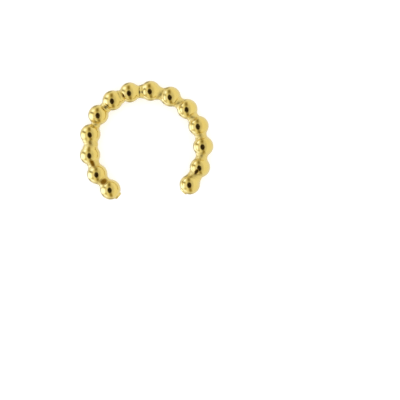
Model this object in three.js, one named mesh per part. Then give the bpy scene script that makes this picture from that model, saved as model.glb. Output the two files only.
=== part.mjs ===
// A beaded ear cuff: a row of small solid balls, soldered one to the next and bent into an open oval.
//
// Millimetres, +Z up. The cuff lies on its side, with its ring flat on Z = 0, its mouth towards -Y and the
// origin under the middle of its bounding box. It is one closed skin over a row of circles that follows the
// wire from one cut tip to the other. The middle band of each ball is square to the oval. The bands on each
// side of it are square to the straight line to the next ball, and so are the necks.

import * as THREE from "three";

// ---- Driving dimensions ----

const BEAD_DIAMETER = 2.0;

// The oval that the balls' centres lie on.
const RING = {
  longRadius: 5.63,
  shortRadius: 5.45,
  longAxisTurn: 146, // degrees, from +X to the long axis
  rightTipAngle: -41, // degrees, from +X to the ball at the right-hand tip
};

// The soldered joints, anticlockwise from the right-hand tip to the left-hand one.
// pitch: from ball centre to ball centre along the oval. neck: the joint's diameter at its waist.
// inset: how far the neck sits to the inside of the line between the two centres.
const JOINTS = [
  { pitch: 1.95, neck: 1.4, inset: 0 },
  { pitch: 2.1, neck: 1.15, inset: 0 },
  { pitch: 2.05, neck: 1.15, inset: 0 },
  { pitch: 2.0, neck: 1.15, inset: 0 },
  { pitch: 2.05, neck: 1.15, inset: 0 },
  { pitch: 2.05, neck: 1.25, inset: 0 },
  { pitch: 2.05, neck: 1.25, inset: 0 },
  { pitch: 1.85, neck: 1.25, inset: 0 },
  { pitch: 2.0, neck: 1.1, inset: 0 },
  { pitch: 2.05, neck: 0.95, inset: 0.13 },
  { pitch: 2.05, neck: 1.4, inset: 0.08 },
  { pitch: 2.0, neck: 1.2, inset: 0 },
  { pitch: 2.0, neck: 1.2, inset: 0 },
];

// The cut ends of the wire: a short round stub, cut square, that stands a little proud of the last ball.
const TIPS = {
  right: { diameter: 0.8, proud: 0.05 },
  left: { diameter: 0.8, proud: 0.1 },
};

const SIDES = 20; // facets round the wire; a multiple of four puts a flat one at the top and the bottom
const BAND = 15; // degrees of latitude that each band of facets covers on a ball

const GOLD = { color: 0xe6c26a, metalness: 1.0, roughness: 0.12 };

const radians = THREE.MathUtils.degToRad;

// ---- The line of the wire ----

// A place on the wire, as a matrix: its origin, +X to the outside of the ring, +Y along the wire and +Z up.
function placeOnWire(origin, along) {
  const outwards = new THREE.Vector3(along.y, -along.x, 0);
  const up = new THREE.Vector3(0, 0, 1);
  return new THREE.Matrix4().makeBasis(outwards, along, up).setPosition(origin);
}

// A full turn of the oval, starting where the right-hand tip's ball sits.
function ovalFromRightTip() {
  const start = radians(RING.rightTipAngle - RING.longAxisTurn);
  const oval = new THREE.EllipseCurve(
    0,
    0,
    RING.longRadius,
    RING.shortRadius,
    start,
    start + 2 * Math.PI,
    false,
    radians(RING.longAxisTurn),
  );
  oval.arcLengthDivisions = 2000;
  return oval;
}

// The balls, from the right-hand tip to the left-hand one. Each has three places at its centre: square to the
// oval, and square to the lines from the ball behind and to the ball ahead. Where there is no such ball, at a
// tip, the wire runs on square to the oval.
function layOutBalls() {
  const oval = ovalFromRightTip();
  const around = oval.getLength();
  const stations = JOINTS.reduce((list, joint) => [...list, list.at(-1) + joint.pitch], [0]);
  const flat = ({ x, y }, z) => new THREE.Vector3(x, y, z);
  const centres = stations.map((station) => flat(oval.getPointAt(station / around), BEAD_DIAMETER / 2));
  const lines = centres.slice(1).map((centre, i) => centre.clone().sub(centres[i]).normalize());
  return centres.map((centre, i) => {
    const tangent = flat(oval.getTangentAt(stations[i] / around), 0);
    return {
      square: placeOnWire(centre, tangent),
      back: placeOnWire(centre, lines[i - 1] ?? tangent),
      ahead: placeOnWire(centre, lines[i] ?? tangent),
    };
  });
}

// ---- The circles ----
// A circle is a place, a radius, and a height along the wire from that place.

// The facets touch the true ball from outside, round the wire and along it, so widths across flats are exact.
const facetRadius = BEAD_DIAMETER / 2 / Math.cos(Math.PI / SIDES) / Math.cos(radians(BAND / 2));

// The latitude, in radians, at which a ball's surface has narrowed to this diameter.
const latitudeOf = (diameter) => Math.acos(diameter / BEAD_DIAMETER);

// How far from the ball's centre, along the wire, that is.
const reachOf = (diameter) => (BEAD_DIAMETER / 2) * Math.sin(latitudeOf(diameter));

// The end of a half ball at a neck: the circle where the neck meets the ball.
function neckEnd({ neck, inset }) {
  return { diameter: neck, inset, heights: [reachOf(neck)] };
}

// The end of a half ball at a tip: the circle where the stub leaves the ball, and the one round its cut face.
function tipEnd({ diameter, proud }) {
  return { diameter, inset: 0, heights: [reachOf(diameter), BEAD_DIAMETER / 2 + proud] };
}

// The circles of half a ball, from its middle outwards. way is 1 along the wire and -1 back along it.
// The edge of a band that would fall within a quarter of a band of the neck is left out.
function halfBall(square, turned, end, way) {
  const bandEdges = [];
  const lastLatitude = latitudeOf(end.diameter) - radians(BAND / 4);
  for (let latitude = radians(BAND / 2); latitude < lastLatitude; latitude += radians(BAND)) {
    bandEdges.push({
      place: latitude < radians(BAND) ? square : turned,
      radius: facetRadius * Math.cos(latitude),
      height: way * facetRadius * Math.sin(latitude),
    });
  }
  const place = turned.clone().multiply(new THREE.Matrix4().makeTranslation(-end.inset, 0, 0));
  const endCircles = end.heights.map((height) => ({ place, radius: end.diameter / 2, height: way * height }));
  return [...bandEdges, ...endCircles];
}

// All the circles, from the right-hand cut face to the left-hand one.
function allCircles() {
  const ends = [tipEnd(TIPS.right), ...JOINTS.map(neckEnd), tipEnd(TIPS.left)];
  return layOutBalls().flatMap(({ square, back, ahead }, i) => [
    ...halfBall(square, back, ends[i], -1).reverse(),
    ...halfBall(square, ahead, ends[i + 1], 1),
  ]);
}

// ---- The skin ----

// The corners of one circle's polygon. They straddle the top and the bottom, so that a flat side lies there.
function corners({ place, radius, height }) {
  return Array.from({ length: SIDES }, (_, side) => {
    const angle = ((side + 0.5) / SIDES) * 2 * Math.PI;
    const corner = new THREE.Vector3(radius * Math.cos(angle), height, radius * Math.sin(angle));
    return corner.applyMatrix4(place);
  });
}

// One closed skin over the row of circles, with a fan of triangles on each cut face.
function skin(circles) {
  const middleOf = ({ place, height }) => new THREE.Vector3(0, height, 0).applyMatrix4(place);
  const middles = [circles[0], circles.at(-1)].map(middleOf);
  const points = [...circles.flatMap(corners), ...middles];
  const [firstMiddle, lastMiddle] = [points.length - 2, points.length - 1];
  const lastStart = (circles.length - 1) * SIDES;
  const triangles = [];
  for (let side = 0; side < SIDES; side++) {
    const next = (side + 1) % SIDES;
    triangles.push(firstMiddle, side, next);
    for (let start = 0; start < lastStart; start += SIDES) {
      const [a, b, c, d] = [start + side, start + next, start + SIDES + next, start + SIDES + side];
      triangles.push(a, c, b, a, d, c);
    }
    triangles.push(lastMiddle, lastStart + next, lastStart + side);
  }
  return new THREE.BufferGeometry().setFromPoints(points).setIndex(triangles);
}

// ---- The part ----

// The skin, moved so that the origin is under the middle of its bounding box.
function cuffGeometry() {
  const geometry = skin(allCircles());
  geometry.computeBoundingBox();
  const middle = geometry.boundingBox.getCenter(new THREE.Vector3());
  geometry.translate(-middle.x, -middle.y, 0);
  geometry.computeVertexNormals();
  return geometry;
}

const cuff = new THREE.Mesh(cuffGeometry(), new THREE.MeshStandardMaterial(GOLD));
cuff.name = "beaded_cuff";

const part = new THREE.Group();
part.add(cuff);

export default part;
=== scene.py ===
# %% [markdown]
# # A beaded ear cuff in polished gold plate
#
# The real cuff is ball wire: small solid brass balls soldered one to the next, bent round into an open oval,
# cut to length, polished and plated with gold. It is one stiff piece of metal that slips over the rim of an
# ear. This lesson makes its skin as one mesh, gives it a plated finish, and lights it the way shiny jewellery
# is lit: inside a white tent, with a dark gap in front where the camera looks in.
#
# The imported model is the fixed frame. It says how big the cuff is and where it lies, and every length below
# is in metres in that same frame.

# %% Load the frame
import math

import bpy
import numpy as np
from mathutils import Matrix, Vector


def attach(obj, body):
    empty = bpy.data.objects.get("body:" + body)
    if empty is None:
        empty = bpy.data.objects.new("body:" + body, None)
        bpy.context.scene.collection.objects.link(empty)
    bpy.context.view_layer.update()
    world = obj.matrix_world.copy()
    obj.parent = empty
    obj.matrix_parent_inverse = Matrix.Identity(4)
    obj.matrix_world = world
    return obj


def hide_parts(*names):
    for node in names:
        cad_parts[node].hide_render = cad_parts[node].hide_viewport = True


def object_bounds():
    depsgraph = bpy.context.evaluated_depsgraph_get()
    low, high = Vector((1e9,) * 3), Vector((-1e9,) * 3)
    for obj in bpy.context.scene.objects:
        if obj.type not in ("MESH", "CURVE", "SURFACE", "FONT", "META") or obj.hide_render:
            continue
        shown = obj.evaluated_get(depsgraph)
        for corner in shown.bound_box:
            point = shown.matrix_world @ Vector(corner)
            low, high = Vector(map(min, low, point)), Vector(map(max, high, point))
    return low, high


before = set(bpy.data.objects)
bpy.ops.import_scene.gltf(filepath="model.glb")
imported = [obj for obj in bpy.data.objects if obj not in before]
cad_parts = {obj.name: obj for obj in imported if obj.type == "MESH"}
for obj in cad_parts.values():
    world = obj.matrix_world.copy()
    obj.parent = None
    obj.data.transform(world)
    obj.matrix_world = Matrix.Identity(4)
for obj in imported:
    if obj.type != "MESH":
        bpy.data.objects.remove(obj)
cad_low, cad_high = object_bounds()
cuff_middle = (cad_low + cad_high) / 2
MM = 0.001
print("frame: the cuff measures", [round(side / MM, 2) for side in cad_high - cad_low], "mm")

# %% [markdown]
# ## The camera
#
# The cuff lies on its side, so a camera that looks square at its face looks straight down. A short lens would
# show the inner side of the near balls and the outer side of the far ones. A long lens from further off sees
# all the balls alike, as a catalogue picture does, so the lens is long and its height follows from how wide a
# stretch of table the picture takes in.

# %% Set the camera above the cuff
LENS = 200 * MM
SENSOR = 36 * MM
PICTURE_WIDTH = 39.14 * MM  # of table, at the height of the balls' middles
CAMERA_RIGHT_OF_CUFF = 5.21 * MM
CAMERA_BELOW_CUFF = 5.86 * MM

camera_height = PICTURE_WIDTH * LENS / SENSOR
camera_data = bpy.data.cameras.new("camera")
camera_data.lens = LENS / MM
camera_data.sensor_width = SENSOR / MM
camera_data.clip_start = 10 * MM
camera = bpy.data.objects.new("camera", camera_data)
camera.location = (
    cuff_middle.x + CAMERA_RIGHT_OF_CUFF,
    cuff_middle.y - CAMERA_BELOW_CUFF,
    cuff_middle.z + camera_height,
)
bpy.context.scene.collection.objects.link(camera)
bpy.context.scene.camera = camera
print("camera:", round(camera_height / MM), "mm above the balls, looking straight down")

# %% [markdown]
# ## The joints
#
# Ball wire is made by soldering, so no two joints are quite alike. Each has its own pitch from ball to ball
# and its own waist, where the solder is thinnest. On three joints the waist is nearer to one of the balls,
# and on two others the solder sits a little to the inside of the ring. A table with one row a joint keeps
# all of that in one place.

# %% List the joints
# One row a joint, from the right-hand tip: the pitch along the oval, the diameter of the waist, how far the
# waist is past the middle of the joint, and how far it sits to the inside of the ring
JOINTS = MM * np.array([
    (1.95, 1.4, 0.12, 0.0),
    (2.1, 1.15, 0.0, 0.0),
    (2.05, 1.15, 0.0, 0.0),
    (2.0, 1.15, 0.0, 0.0),
    (2.05, 1.15, 0.0, 0.0),
    (2.05, 1.25, -0.05, 0.0),
    (2.05, 1.25, 0.0, 0.0),
    (1.85, 1.25, -0.12, 0.0),
    (2.0, 1.1, 0.0, 0.0),
    (2.05, 0.95, 0.0, 0.13),
    (2.05, 1.4, 0.0, 0.08),
    (2.0, 1.2, 0.0, 0.0),
    (2.0, 1.2, 0.0, 0.0),
])
OVAL_PITCH, WAIST_DIAMETER, WAIST_SHIFT, WAIST_INSET = JOINTS.T
print("joints:", len(JOINTS), "with waists of", np.unique(WAIST_DIAMETER / MM).round(2), "mm")

# %% [markdown]
# ## The line of balls
#
# A maker bends ball wire round a mandrel by hand, so the ring is an oval and not a true circle. The balls
# could be placed one by one as points. Walking along an oval is shorter and says what the maker did: start
# at one tip, and set off one pitch after another. There is no short formula for the distance walked along an
# oval, so many small straight steps are added up.
#
# A point of the plan is kept as one complex number, x + iy, so that turning it is one multiplication.

# %% Lay out the balls along the oval
BALL_RADIUS = (cad_high.z - cad_low.z) / 2
LONG_RADIUS = 5.63 * MM
SHORT_RADIUS = 5.45 * MM
LONG_AXIS_TURN = math.radians(146)
RIGHT_TIP_ANGLE = math.radians(-41)
OVAL_STEPS = 20000


def walk_the_oval(distance):
    """Where the oval has got to after each distance from the right-hand tip, and the way it heads there.

    A point of the oval is (a cos t, b sin t), turned by the angle of the long axis. The distance walked is
    the sum of the small steps, read backwards to find the t of each distance.
    """
    t = np.linspace(0, 2 * np.pi, OVAL_STEPS + 1) + RIGHT_TIP_ANGLE - LONG_AXIS_TURN
    steps = np.hypot(np.diff(LONG_RADIUS * np.cos(t)), np.diff(SHORT_RADIUS * np.sin(t)))
    t = np.interp(distance, np.concatenate([[0], np.cumsum(steps)]), t)
    point = (LONG_RADIUS * np.cos(t) + 1j * SHORT_RADIUS * np.sin(t)) * np.exp(1j * LONG_AXIS_TURN)
    heading = (-LONG_RADIUS * np.sin(t) + 1j * SHORT_RADIUS * np.cos(t)) * np.exp(1j * LONG_AXIS_TURN)
    return point, np.unwrap(np.angle(heading))


ball_centre, oval_heading = walk_the_oval(np.concatenate([[0], np.cumsum(OVAL_PITCH)]))
pitch = np.abs(np.diff(ball_centre))
line_heading = np.unwrap(np.angle(np.diff(ball_centre)))
heading_behind = np.concatenate([oval_heading[:1], line_heading])
heading_ahead = np.concatenate([line_heading, oval_heading[-1:]])
station = np.concatenate([[0], np.cumsum(pitch)])
waist_station = (station[1:] + station[:-1]) / 2 + WAIST_SHIFT
print("balls:", len(ball_centre), "on a wire", round(station[-1] / MM, 2), "mm long, pitches",
      np.round(pitch / MM, 2))

# %% [markdown]
# ## The solder between two balls
#
# Solder is drawn into the gap between two balls by surface tension and sets as a hollow curve that touches
# both of them. Seen from the side, each half of it is an arc of a circle. It lies level at the waist, and
# where it touches its ball the two share one tangent. Pythagoras gives its radius: its centre is as far
# along from the ball as the waist is, as far off the axis as the waist's radius and its own together, and
# one ball radius and its own radius from the ball's centre. Where a waist isn't in the middle of its joint,
# the two arcs differ.

# %% Shape the solder
ROW_STEP = 0.05 * MM
ROW_TURN = math.radians(5)


def arc(centre, radius, start, stop):
    """Points of an arc without its last one: centre + radius e^(i angle), as complex numbers.

    There is one at least every ROW_STEP of its length and every ROW_TURN of its angle.
    """
    turn = abs(stop - start)
    count = math.ceil(max(turn * radius / ROW_STEP, turn / ROW_TURN))
    return centre + radius * np.exp(1j * np.linspace(start, stop, count, endpoint=False))


def solder_arc(reach, waist):
    """The radius of the solder's arc, and where it touches the ball, as an angle off the wire.

    The reach is how far along the waist is from the ball's centre, and the waist is given by its radius.
    Radius = (reach^2 + waist^2 - ball^2) / (2 (ball - waist)).
    """
    radius = (reach**2 + waist**2 - BALL_RADIUS**2) / (2 * (BALL_RADIUS - waist))
    return radius, math.atan2(waist + radius, reach)


near_radii = [solder_arc(*joint)[0] for joint in zip(waist_station - station[:-1], WAIST_DIAMETER / 2)]
print("solder: arcs with radii of", np.round(np.array(near_radii) / MM, 2), "mm")

# %% [markdown]
# ## The cut tips
#
# At each tip the wire was snipped, and a low stub is left on the ball, cut square, with its edge worn round
# by the polishing. A superellipse is a handy curve for that: a rectangle whose corners are rounded by one
# number. Measured from the ball's centre, the outline goes as far out as the ball or the stub, whichever is
# further, with a small blend.

# %% Shape the cut tips
STUB_RADIUS = 0.42 * MM
STUB_PROUD = {"right": 0.05 * MM, "left": 0.1 * MM}
STUB_SQUARENESS = 7  # 2 is a round end, and a large number a sharp-edged one
STUB_BLEND = 36  # the larger, the sharper the corner between the stub and the ball
STUB_TURN = math.radians(1.5)


def tip_outline(proud):
    """The outer quarter of a tip's ball with its stub, from the ball's widest place to the cut face.

    In the direction at angle a off the wire, the ball is r = BALL_RADIUS and the stub is the superellipse
    r = (|cos a / length|^n + |sin a / radius|^n)^(-1/n). The outline is the larger of the two, blended as
    (ball^k + stub^k)^(1/k).
    """
    angle = np.linspace(math.pi / 2, 0, round(math.pi / 2 / STUB_TURN) + 1)
    n, k = STUB_SQUARENESS, STUB_BLEND
    length = 1 + proud / BALL_RADIUS
    radius = STUB_RADIUS / BALL_RADIUS
    stub = ((np.cos(angle) / length) ** n + (np.sin(angle) / radius) ** n) ** (-1 / n)
    reach = (1 + stub**k) ** (1 / k)
    outline = BALL_RADIUS * reach * np.exp(1j * angle)
    outline[-1] = outline[-1].real
    return outline


tips = {side: tip_outline(proud) for side, proud in STUB_PROUD.items()}
for side, tip in tips.items():
    print("the", side, "tip's face is", round(tip[-1].real / MM, 3), "mm from its ball's centre")

# %% [markdown]
# ## The outline of the wire
#
# Half of the straight wire's outline is one line from tip to tip: the outer quarter of the first ball with
# its stub, then solder and ball by turns, all of them arcs, and the outer quarter of the last ball. It is
# kept as complex numbers, along the wire plus i times the distance off its axis, so that an arc is a centre
# and a turning arrow.

# %% Draw the outline
WIDEST = math.pi / 2  # where a ball is widest, as an angle off the wire
LOWEST = 1.5 * math.pi  # where a solder arc is nearest to the wire's axis, as an angle round its own centre


def wire_outline():
    """The straight wire's outline from tip to tip: along the wire plus i times the distance off its axis."""
    pieces = [-tips["right"].conj()[::-1][:-1]]
    leaves = WIDEST
    for i, waist in enumerate(WAIST_DIAMETER / 2):
        near, near_touch = solder_arc(waist_station[i] - station[i], waist)
        far, far_touch = solder_arc(station[i + 1] - waist_station[i], waist)
        middle = waist_station[i] + 1j * waist
        pieces.append(arc(station[i], BALL_RADIUS, leaves, near_touch))
        pieces.append(arc(middle + 1j * near, near, math.pi + near_touch, LOWEST))
        pieces.append(arc(middle + 1j * far, far, LOWEST, 2 * math.pi - far_touch))
        leaves = math.pi - far_touch
    pieces.append(arc(station[-1], BALL_RADIUS, leaves, WIDEST))
    pieces.append(station[-1] + tips["left"])
    return np.concatenate(pieces)


outline = wire_outline()
along, off_axis = outline.real, outline.imag
print("outline:", len(outline), "rows, waists at", np.round(waist_station / MM, 2), "mm along the wire")

# %% [markdown]
# ## Collars of solder
#
# On three of the joints the solder didn't draw in quite smoothly: it left a low ring at the waist or beside
# it, a few hundredths of a millimetre high. A smooth bump is added to the outline there. It is what puts fine
# dark lines across those joints, where the hollow turns for a moment into a hump.

# %% Raise the collars
# For each collared joint: how far its collar is past the waist, how high it is, and how far it reaches
COLLARS = {
    6: (-0.15 * MM, 0.045 * MM, 0.26 * MM),
    7: (0.2 * MM, 0.035 * MM, 0.2 * MM),
    8: (0.0, 0.035 * MM, 0.2 * MM),
}


def soft_bump(distance, reach):
    """1 in the middle, falling as a squared cosine to 0 where the distance comes to the reach."""
    return np.cos(np.clip(distance / reach, 0, 1) * np.pi / 2) ** 2


for joint, (shift, height, reach) in COLLARS.items():
    from_collar = np.abs(along - waist_station[joint] - shift)
    off_axis = off_axis + height * soft_bump(from_collar, reach)
print("collars on joints", list(COLLARS))

# %% [markdown]
# ## Bending the wire into the ring
#
# When ball wire is bent, the necks stay straight and each ball takes up a share of the turn. Here every row
# of the outline turns about the centre of its own ball. A ball turned about its centre is still the same
# ball, so the balls stay perfectly round, and past the middle of a ball the rows head straight for the next
# one, so each neck is a straight spindle of solder.

# %% Work out where each row lies
TURN_ENDS = 0.6 * BALL_RADIUS  # past this distance from its ball's middle, a row heads for the next ball
INSET_REACH = 0.3 * MM  # how far from the waist the solder's shift to the inside is felt

ball = np.searchsorted(waist_station, along)
from_ball = along - station[ball]
turned = np.clip((from_ball / TURN_ENDS + 1) / 2, 0, 1)
row_heading = heading_behind[ball] * (1 - turned) + heading_ahead[ball] * turned
row_along = np.exp(1j * row_heading)
row_outwards = row_along * -1j

nearest_joint = np.abs(along[:, None] - waist_station[None, :]).argmin(1)
from_waist = np.abs(along - waist_station[nearest_joint])
inset = WAIST_INSET[nearest_joint] * soft_bump(from_waist, INSET_REACH)
row_centre = ball_centre[ball] + from_ball * row_along - inset * row_outwards
print("rows turn through", round(math.degrees(row_heading[-1] - row_heading[0])), "degrees from tip to tip")

# %% [markdown]
# ## The lumps
#
# Polished balls are never perfect. Tumbling leaves them very slightly lumpy, by a few thousandths of a
# millimetre. That is too little to see in the outline, but a mirror finish shows it, because the picture that
# each ball reflects bends with it. A few long waves with random directions do that. A random number that
# starts from a fixed seed comes out the same each time, so the lumps do too.

# %% Shape the lumps
LUMP_HEIGHT = 0.0025 * MM
LUMP_LENGTHS = (0.9 * MM, 2.2 * MM)
LUMP_WAVES = 24
LUMP_SEED = 7


def lumps(points, random):
    """The height of the lumps at each point: a sum of sine waves, each with its own way, length and phase.

    The sum is divided by the root of half the number of waves, which makes LUMP_HEIGHT its usual size.
    """
    way = random.normal(size=(LUMP_WAVES, 3))
    way /= np.linalg.norm(way, axis=1, keepdims=True)
    length = random.uniform(*LUMP_LENGTHS, LUMP_WAVES)
    phase = random.uniform(0, 2 * np.pi, LUMP_WAVES)
    waves = np.sin(2 * np.pi * (points @ way.T) / length + phase)
    return LUMP_HEIGHT * waves.sum(-1) / math.sqrt(LUMP_WAVES / 2)


print("lumps:", LUMP_WAVES, "waves, usually", round(LUMP_HEIGHT / MM, 4), "mm high")

# %% [markdown]
# ## The points of the skin
#
# Round each row goes a circle of points: outwards in the plane of the ring, and up, by the cosine and the
# sine of the angle round the wire. All the rows are worked out at once, as one array of rows by columns.

# %% Lay out the points of the skin
COLUMNS = 112
COLUMN_ANGLE = 2 * np.pi * (np.arange(COLUMNS) + 0.5) / COLUMNS  # from the outside of the ring, over the top


def wire_grid():
    """The skin's points, rows by columns: row centre + off_axis (cos a x outwards + sin a x up), with lumps.

    A lump moves a point straight away from the middle line of the wire. On a cut face, where the rows close
    in on that line, the lumps fade out.
    """
    away = np.stack([
        row_outwards.real[:, None] * np.cos(COLUMN_ANGLE),
        row_outwards.imag[:, None] * np.cos(COLUMN_ANGLE),
        np.ones_like(off_axis)[:, None] * np.sin(COLUMN_ANGLE),
    ], axis=-1)
    centre = np.stack([row_centre.real, row_centre.imag, np.full_like(off_axis, BALL_RADIUS)], axis=-1)
    smooth = centre[:, None] + off_axis[:, None, None] * away
    fade = np.clip(off_axis / STUB_RADIUS, 0, 1)[:, None]
    lift = lumps(smooth, np.random.default_rng(LUMP_SEED)) * fade
    return smooth + lift[..., None] * away


skin_grid = wire_grid()
print("grid:", skin_grid.shape[0], "rows by", skin_grid.shape[1], "columns")

# %% [markdown]
# ## The closed skin
#
# Rows and columns make a grid of quads, closed round the wire. The first and the last row have shrunk to one
# point each, in the middle of a cut face, and a fan of triangles runs from that point to the row beside it.

# %% Make the skin
def neighbours(columns):
    """The number of each column of a closed ring, and the number of the one beside it."""
    here = np.arange(columns)
    return here, (here + 1) % columns


def grid_faces(rows, columns):
    """Quads between neighbouring rows and columns of a grid that is closed round its columns."""
    row_start = np.arange(rows - 1)[:, None] * columns
    here, beside = (row_start + column for column in neighbours(columns))
    return np.stack([here, here + columns, beside + columns, beside], axis=-1).reshape(-1, 4)


def cuff_mesh(grid):
    """The closed skin: the grid's rows, with the first and the last shrunk to one point each."""
    body = grid[1:-1]
    low_tip, high_tip = grid[0].mean(0), grid[-1].mean(0)
    rows = len(body)
    points = np.concatenate([body.reshape(-1, 3), [low_tip, high_tip]])
    here, beside = neighbours(COLUMNS)
    last_row = (rows - 1) * COLUMNS
    low_fan = np.stack([np.full(COLUMNS, rows * COLUMNS), here, beside], axis=-1)
    high_fan = np.stack([np.full(COLUMNS, rows * COLUMNS + 1), last_row + beside, last_row + here], axis=-1)
    faces = [*grid_faces(rows, COLUMNS).tolist(), *low_fan.tolist(), *high_fan.tolist()]
    mesh = bpy.data.meshes.new("ball_cuff")
    mesh.from_pydata(points, [], faces)
    mesh.shade_smooth()
    return mesh


ball_cuff = bpy.data.objects.new("ball_cuff", cuff_mesh(skin_grid))
bpy.context.scene.collection.objects.link(ball_cuff)
print("skin:", len(ball_cuff.data.vertices), "points and", len(ball_cuff.data.polygons), "faces")

# %% [markdown]
# The origin of the frame is under the middle of the cuff's box, and the oval was drawn round its own middle.
# So the finished mesh is moved once, in its vertices, until its box is centred on the frame's, and it is set
# down on the table. The object itself stays at the origin, unturned.

# %% Move the skin onto the frame
skin_points = np.array([vertex.co for vertex in ball_cuff.data.vertices])
shift = (np.array(cad_low + cad_high) - skin_points.min(0) - skin_points.max(0)) / 2
shift[2] = cad_low.z - skin_points[:, 2].min()
skin_points += shift
ball_cuff.data.vertices.foreach_set("co", skin_points.astype(np.float32).ravel())
ball_cuff.data.update()
print("skin moved by", np.round(shift / MM, 3), "mm")

# %% [markdown]
# ## Where the solder is
#
# The solder in the waists is a different alloy under the plating, and a polishing wheel can't reach into
# them. Their gold is a shade deeper and their shine is softer. At three joints the wheel did reach in, and
# they are nearly as bright as the balls. The finish has to know where the solder is, so the mesh carries it
# as a number on each vertex, from 0 on the ball to 1 at the thinnest place of a dull joint.

# %% Mark the solder on the skin
SOLDER_REACH = 0.6 * MM
BRIGHT_SOLDER = {6: 0.3, 7: 0.3, 8: 0.5}  # the joints that were polished, and how dull they still are
DULL_SOLDER = 1.0  # all the others


def mark_skin(name, value):
    """Puts a number on every point of the grid. The two tip points get 0."""
    of_point = np.concatenate([value[1:-1].ravel(), [0, 0]])
    layer = ball_cuff.data.attributes.new(name, "FLOAT", "POINT")
    layer.data.foreach_set("value", of_point.astype(np.float32))
    print(name, "is", round(float(of_point.mean()), 3), "on average and", of_point.max().round(2), "at most")


dullness = np.array([BRIGHT_SOLDER.get(joint, DULL_SOLDER) for joint in range(len(JOINTS))])
solder = soft_bump(from_waist, SOLDER_REACH) * dullness[nearest_joint]
mark_skin("solder", np.repeat(solder[:, None], COLUMNS, axis=1))

# %% [markdown]
# ## Stains on the solder
#
# Flux and heat stain solder brown, and nearly black where they were worst. Five joints have such a stain, on
# the top as the cuff lies. Each is an oval patch with a soft edge, placed by how far along the wire and how
# far round it its middle is. The mesh carries the stains as a second number, from 0 where the metal is clean.

# %% Mark the stains on the skin
# Each stain: its joint, how far past the waist its middle is, how many degrees it is turned to the inside of
# the ring from the top of the wire, its half length along the wire, its half width in degrees, and how dark
# it is
STAINS = [
    (0, 0.28 * MM, 6, 0.27 * MM, 11, 0.95),
    (7, -0.11 * MM, 4, 0.08 * MM, 17, 0.85),
    (10, -0.12 * MM, -5, 0.13 * MM, 10, 0.4),
    (11, -0.1 * MM, -6, 0.34 * MM, 18, 0.5),
    (12, 0.0, 0, 0.24 * MM, 36, 0.5),
]
STAIN_EDGE = 0.5  # the soft part of its edge, as a share of its half size
TOP = 90  # degrees round the wire, from the outside of the ring


def stain_patch(joint, shift, turn, half_length, half_width, darkness):
    """An oval patch on the grid: its darkness in the middle, fading to 0 over a soft edge.

    Half of the soft edge is inside the oval's outline, and half is outside it.
    """
    far_along = (along[:, None] - waist_station[joint] - shift) / half_length
    far_round = (np.degrees(COLUMN_ANGLE) - TOP - turn) / half_width
    return darkness * np.clip((1 - np.hypot(far_along, far_round)) / STAIN_EDGE + 0.5, 0, 1)


mark_skin("stain", np.max([stain_patch(*stain) for stain in STAINS], axis=0))

# %% [markdown]
# ## The gold plate
#
# Gold has no paint on it: its colour is the colour of its mirror. So the finish is a metal whose base colour
# is what it gives back of white light, and everything else that is seen on it is the room. Plated brass is
# paler and greener than solid gold.
#
# A finish is a net of nodes. Each function below adds one node to the net and hands back the socket that its
# result comes out of, so the net can then be written down as a few short sums.

# %% Make the tools for a finish
NOISE_DETAIL = 2.0


def link(tree, source, target):
    """Joins one socket to another."""
    tree.links.new(source, target)


def noise(tree, size, detail=NOISE_DETAIL):
    """A noise texture on the piece's own coordinates, whose blobs are about this size, from 0 to 1."""
    where = tree.nodes.new("ShaderNodeTexCoord")
    texture = tree.nodes.new("ShaderNodeTexNoise")
    texture.inputs["Scale"].default_value = 1 / size
    texture.inputs["Detail"].default_value = detail
    link(tree, where.outputs["Object"], texture.inputs["Vector"])
    return texture.outputs["Fac"]


def mark(tree, name):
    """The number that the mesh carries under this name."""
    attribute = tree.nodes.new("ShaderNodeAttribute")
    attribute.attribute_name = name
    return attribute.outputs["Fac"]


def mix_colour(tree, factor, first, second):
    """A mix of two colours by a factor. Each colour is a socket or four numbers."""
    mix = tree.nodes.new("ShaderNodeMix")
    mix.data_type = "RGBA"
    link(tree, factor, mix.inputs["Factor"])
    for socket, colour in ((mix.inputs[6], first), (mix.inputs[7], second)):
        if isinstance(colour, tuple):
            socket.default_value = colour
        else:
            link(tree, colour, socket)
    return mix.outputs[2]


def map_range(tree, value, source, target=(0.0, 1.0)):
    """Carries the values between the source's two ends over to the target's, and stops at the ends.

    Each end of the target is a number or a socket.
    """
    node = tree.nodes.new("ShaderNodeMapRange")
    link(tree, value, node.inputs["Value"])
    for name, end in zip(("From Min", "From Max", "To Min", "To Max"), (*source, *target)):
        if isinstance(end, (int, float)):
            node.inputs[name].default_value = end
        else:
            link(tree, end, node.inputs[name])
    return node.outputs["Result"]


print("tools for a finish:", [tool.__name__ for tool in (link, noise, mark, mix_colour, map_range)])

# %% [markdown]
# Three things keep the plate from looking like a drawing. Its tone wanders a little from place to place. Its
# polish does too, so some spots reflect more softly than others. And it has hair-fine tumbling marks that are
# only felt as a slight break-up of the sharpest reflections.
#
# The solder is a shade deeper, duller, and a little less of a mirror. A stain turns from the plate's colour
# to brown and then to nearly black as its number grows, and it isn't polished at all.

# %% Make the plated finish
GOLD = (0.87, 0.675, 0.205, 1)
GOLD_DEEPER = (0.84, 0.63, 0.17, 1)
TONE_SIZE = 1.6 * MM
TONE_NOISE = (0.35, 0.65)  # the values of the noise that give the one gold and the other
POLISH = (0.1, 0.18)  # roughness, from the brightest spots to the dullest
POLISH_SIZE = 0.5 * MM
POLISH_NOISE = (0.35, 0.7)  # the values of the noise that give the brightest spots and the dullest
MARK_SIZE = 0.09 * MM
MARK_DEPTH = 0.0004 * MM
MARK_DETAIL = 3.0

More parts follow.
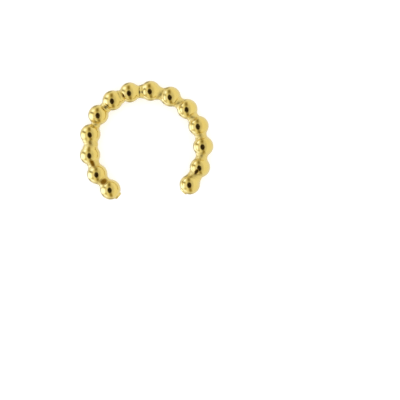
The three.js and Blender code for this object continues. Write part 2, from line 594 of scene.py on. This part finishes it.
SOLDER_GOLD = (0.83, 0.64, 0.19, 1)
SOLDER_ROUGHNESS = 0.33
SOLDER_DULLS = (0.0, 0.7)  # the solder's numbers between which the shine softens
SOLDER_METALLIC = 0.7
SOLDER_CLOUDS = (0.3, 1.0)  # the solder's numbers between which it becomes less of a mirror

STAIN_BROWN = (0.32, 0.15, 0.0, 1)
STAIN_BLACK = (0.02, 0.012, 0.002, 1)
STAIN_BROWNS = (0.0, 0.5)  # the stain's numbers between which it turns brown
STAIN_BLACKENS = (0.5, 1.0)
STAIN_ROUGHNESS = 0.5
STAIN_DULLS = (0.1, 0.4)


def gold_plate():
    """Polished gold plate on brass, deeper and duller in the solder."""
    material = bpy.data.materials.new("gold_plate")
    material.use_nodes = True
    tree = material.node_tree
    metal = tree.nodes["Principled BSDF"]
    solder = mark(tree, "solder")
    stain = mark(tree, "stain")

    tone = map_range(tree, noise(tree, TONE_SIZE), TONE_NOISE)
    plate = mix_colour(tree, tone, GOLD, GOLD_DEEPER)
    plate = mix_colour(tree, solder, plate, SOLDER_GOLD)
    plate = mix_colour(tree, map_range(tree, stain, STAIN_BROWNS), plate, STAIN_BROWN)
    plate = mix_colour(tree, map_range(tree, stain, STAIN_BLACKENS), plate, STAIN_BLACK)
    link(tree, plate, metal.inputs["Base Color"])

    polish = map_range(tree, noise(tree, POLISH_SIZE), POLISH_NOISE, POLISH)
    roughness = map_range(tree, solder, SOLDER_DULLS, (polish, SOLDER_ROUGHNESS))
    roughness = map_range(tree, stain, STAIN_DULLS, (roughness, STAIN_ROUGHNESS))
    link(tree, roughness, metal.inputs["Roughness"])
    link(tree, map_range(tree, solder, SOLDER_CLOUDS, (1.0, SOLDER_METALLIC)), metal.inputs["Metallic"])

    bump = tree.nodes.new("ShaderNodeBump")
    bump.inputs["Strength"].default_value = 1.0
    bump.inputs["Distance"].default_value = MARK_DEPTH
    link(tree, noise(tree, MARK_SIZE, MARK_DETAIL), bump.inputs["Height"])
    link(tree, bump.outputs["Normal"], metal.inputs["Normal"])
    return material


ball_cuff.data.materials.append(gold_plate())
print("finish: polished gold plate on", ball_cuff.name)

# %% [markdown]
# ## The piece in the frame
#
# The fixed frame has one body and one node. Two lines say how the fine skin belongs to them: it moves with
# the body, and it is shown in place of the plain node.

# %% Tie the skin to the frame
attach(ball_cuff, "root")
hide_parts("beaded_cuff")
print(ball_cuff.name, "rides on root in place of beaded_cuff")

# %% [markdown]
# ## The table
#
# A plain white table, lit from above by the whole tent, with a little light of its own as a light table has.
# It keeps only the softest shadow, right under the balls. The balls don't mirror it: small jewellery is often
# held well clear of its table on a sheet of glass. A table close under them would throw their own gold light
# back at them and turn their pale rims orange.

# %% Set up the table
TABLE_SIDE = 2.0
TABLE_WHITE = (0.85, 0.85, 0.85, 1)
TABLE_GLOW = 0.45


def plain_material(name, colour, glow):
    """A matt material with an even light of its own."""
    material = bpy.data.materials.new(name)
    material.use_nodes = True
    shader = material.node_tree.nodes["Principled BSDF"]
    shader.inputs["Base Color"].default_value = colour
    shader.inputs["Roughness"].default_value = 1.0
    shader.inputs["Specular IOR Level"].default_value = 0.0
    shader.inputs["Emission Color"].default_value = (1, 1, 1, 1)
    shader.inputs["Emission Strength"].default_value = glow
    return material


def table_top():
    """A square sheet, flat under the cuff, that the metal doesn't mirror."""
    half = TABLE_SIDE / 2
    corners = [(-half, -half), (half, -half), (half, half), (-half, half)]
    mesh = bpy.data.meshes.new("table")
    mesh.from_pydata([(x, y, cad_low.z) for x, y in corners], [], [(0, 1, 2, 3)])
    mesh.materials.append(plain_material("table_white", TABLE_WHITE, TABLE_GLOW))
    table = bpy.data.objects.new("table", mesh)
    bpy.context.scene.collection.objects.link(table)
    table.visible_glossy = False


table_top()
print("table:", TABLE_SIDE, "m square")

# %% [markdown]
# ## The tent
#
# The world stands for the tent's white cloth. Low down, where the balls' rims and undersides look, the cloth
# is bluer, as it is where daylight comes in under it, and that keeps the rims pale.

# %% Put up the tent
TENT_ABOVE = (0.96, 0.96, 0.96, 1)
TENT_BELOW = (0.9, 0.94, 1.2, 1)
TENT_BLEND = (-0.5, 0.1)  # from all below to all above, where -1 is straight down and 1 is straight up


def tent():
    """A white world, a little bluer below the table top than above it."""
    world = bpy.data.worlds.new("tent")
    world.use_nodes = True
    tree = world.node_tree
    where = tree.nodes.new("ShaderNodeTexCoord")
    height = tree.nodes.new("ShaderNodeSeparateXYZ")
    link(tree, where.outputs["Generated"], height.inputs["Vector"])
    up = map_range(tree, height.outputs["Z"], TENT_BLEND)
    link(tree, mix_colour(tree, up, TENT_BELOW, TENT_ABOVE), tree.nodes["Background"].inputs["Color"])
    bpy.context.scene.world = world


tent()
bpy.context.scene.view_settings.view_transform = "Standard"
print("tent:", TENT_ABOVE[:3], "above and", TENT_BELOW[:3], "below")

# %% [markdown]
# ## What the balls see
#
# A mirror ball shows almost the whole room, squeezed into its face: straight up in its middle and the horizon
# seven tenths of the way to its edge. So what is seen on polished jewellery is arranged with cards and lamps
# held round it, and that is what is made here. Each card is a soft-edged patch on the inside of a big ball
# round the cuff. Its place is two angles off the vertical: to the right, and away from the viewer.

# %% Shape a card
CARD_RINGS = 10
CARD_SPOKES = 64


def card_mesh(name, right, away, half_width, half_height, lean, distance, squareness):
    """A patch on the inside of a big ball, as rings round its middle.

    Its outline is a superellipse, |x / w|^n + |y / h|^n = 1, drawn in angles off the vertical and leaned
    over. A pair of angles becomes a direction by going that far down from the vertical, that way round.
    """
    spoke = np.linspace(0, 2 * np.pi, CARD_SPOKES, endpoint=False)
    ring = np.linspace(0, 1, CARD_RINGS + 1)[1:, None]
    power = 2 / squareness
    x = half_width * ring * np.sign(np.cos(spoke)) * np.abs(np.cos(spoke)) ** power
    y = half_height * ring * np.sign(np.sin(spoke)) * np.abs(np.sin(spoke)) ** power
    place = (x + 1j * y) * np.exp(1j * math.radians(lean)) + right + 1j * away
    place = np.concatenate([[right + 1j * away], place.ravel()])
    down = np.radians(np.abs(place))
    way = np.angle(place)
    points = distance * np.stack(
        [np.sin(down) * np.cos(way), np.sin(down) * np.sin(way), np.cos(down)], axis=-1)
    edge = np.concatenate([[0], np.repeat(ring[:, 0], CARD_SPOKES)])
    here, beside = neighbours(CARD_SPOKES)
    middle = np.stack([np.zeros(CARD_SPOKES, int), 1 + here, 1 + beside], axis=-1).tolist()
    rings = (1 + grid_faces(CARD_RINGS, CARD_SPOKES)).tolist()
    mesh = bpy.data.meshes.new(name)
    mesh.from_pydata(points, [], middle + rings)
    layer = mesh.attributes.new("edge", "FLOAT", "POINT")
    layer.data.foreach_set("value", edge.astype(np.float32))
    return mesh


print("a card has", 1 + CARD_RINGS * CARD_SPOKES, "points")

# %% [markdown]
# Only the metal sees the cards: they light nothing, and the camera looks through them. A card is a mix of a
# clear surface and a glowing one. The mesh carries how near each point is to the card's edge, and the glow
# fades out towards it, so a card has no hard line in a reflection unless it is asked for.

# %% Give a card its light
def card_material(name, light, density, softness, tint):
    """Even light in the middle, fading to clear over the outer part of the card."""
    material = bpy.data.materials.new(name)
    material.use_nodes = True
    tree = material.node_tree
    tree.nodes.clear()
    fade = map_range(tree, mark(tree, "edge"), (1 - softness, 1.0), (density, 0.0))
    fade.node.interpolation_type = "SMOOTHSTEP"
    clear = tree.nodes.new("ShaderNodeBsdfTransparent")
    glow = tree.nodes.new("ShaderNodeEmission")
    glow.inputs["Strength"].default_value = light
    glow.inputs["Color"].default_value = (*tint, 1)
    mix = tree.nodes.new("ShaderNodeMixShader")
    link(tree, fade, mix.inputs["Fac"])
    link(tree, clear.outputs["BSDF"], mix.inputs[1])
    link(tree, glow.outputs["Emission"], mix.inputs[2])
    output = tree.nodes.new("ShaderNodeOutputMaterial")
    link(tree, mix.outputs["Shader"], output.inputs["Surface"])
    return material


def hang_card(name, right, away, half_width, half_height, light, lean=0, softness=0.5, density=1.0,
              distance=0.5, squareness=2.0, tint=(1, 1, 1)):
    """Hangs one card where only the metal sees it."""
    mesh = card_mesh(name, right, away, half_width, half_height, lean, distance, squareness)
    mesh.materials.append(card_material(name, light, density, softness, tint))
    card = bpy.data.objects.new(name, mesh)
    bpy.context.scene.collection.objects.link(card)
    card.visible_camera = False
    card.visible_diffuse = False
    card.visible_shadow = False
    card.visible_transmission = False
    print(name, "hangs", right, "degrees to the right and", away, "away")

# %% [markdown]
# A dark oval stands for the camera, and a dim strip above and below it, with a faint edge at its right, for
# the gap in the front of the tent. The oval and the strips are brown and tan, because what light there is in
# them has been to the gold and back. The panes on the left are lamps like cool daylight behind the cloth. The
# bar across them and the walls round about are only grey.

# %% Hang the cards
BROWN = (1, 0.45, 0)
TAN = (1, 0.78, 0.15)
DAYLIGHT = (0.48, 0.57, 1)
PALE_DAYLIGHT = (0.64, 0.68, 1)

# Each card: its name, how many degrees to the right and away its middle is, its half width and half height in
# degrees, and its light
hang_card("camera_card", -8, -12, 31, 42, 0.02, lean=8, softness=0.35, distance=0.40, tint=BROWN)
hang_card("gap_above", -13, 54, 34, 54, 0.24, lean=6, softness=0.95, distance=0.405, squareness=3, tint=TAN)
hang_card("gap_below", 6, -68, 32, 54, 0.28, lean=14, softness=0.95, distance=0.406, squareness=3, tint=TAN)
hang_card("gap_edge", 24, 0, 30, 85, 0.5, lean=5, softness=0.9, density=0.6, distance=0.42)
hang_card("window_bar", -78, 24, 50, 15, 0.35, lean=-24, softness=0.8, distance=0.43)
hang_card("pane_corner", -52, -52, 21, 18, 0.6, softness=0.8, distance=0.43)
hang_card("pane_near", -48, -18, 22, 28, 1.35, softness=0.8, distance=0.45, tint=PALE_DAYLIGHT)
hang_card("pane_above", -66, 50, 30, 28, 2.8, softness=0.7, distance=0.46, tint=DAYLIGHT)
hang_card("pane_left", -98, -22, 46, 46, 3.6, softness=0.6, distance=0.47, squareness=2.5, tint=DAYLIGHT)
hang_card("pane_below", -62, -80, 50, 20, 2.6, lean=-30, softness=0.7, distance=0.48, tint=DAYLIGHT)
hang_card("wall_far", -50, 113, 60, 28, 0.4, lean=25, softness=0.8, distance=0.49)
hang_card("wall_near", -115, -85, 45, 25, 0.4, lean=-40, softness=0.8, distance=0.49)
hang_card("wall_under", 0, -136, 70, 34, 0.5, softness=0.8, distance=0.49)
hang_card("wall_left", -155, 0, 28, 120, 0.55, softness=0.5, distance=0.46)
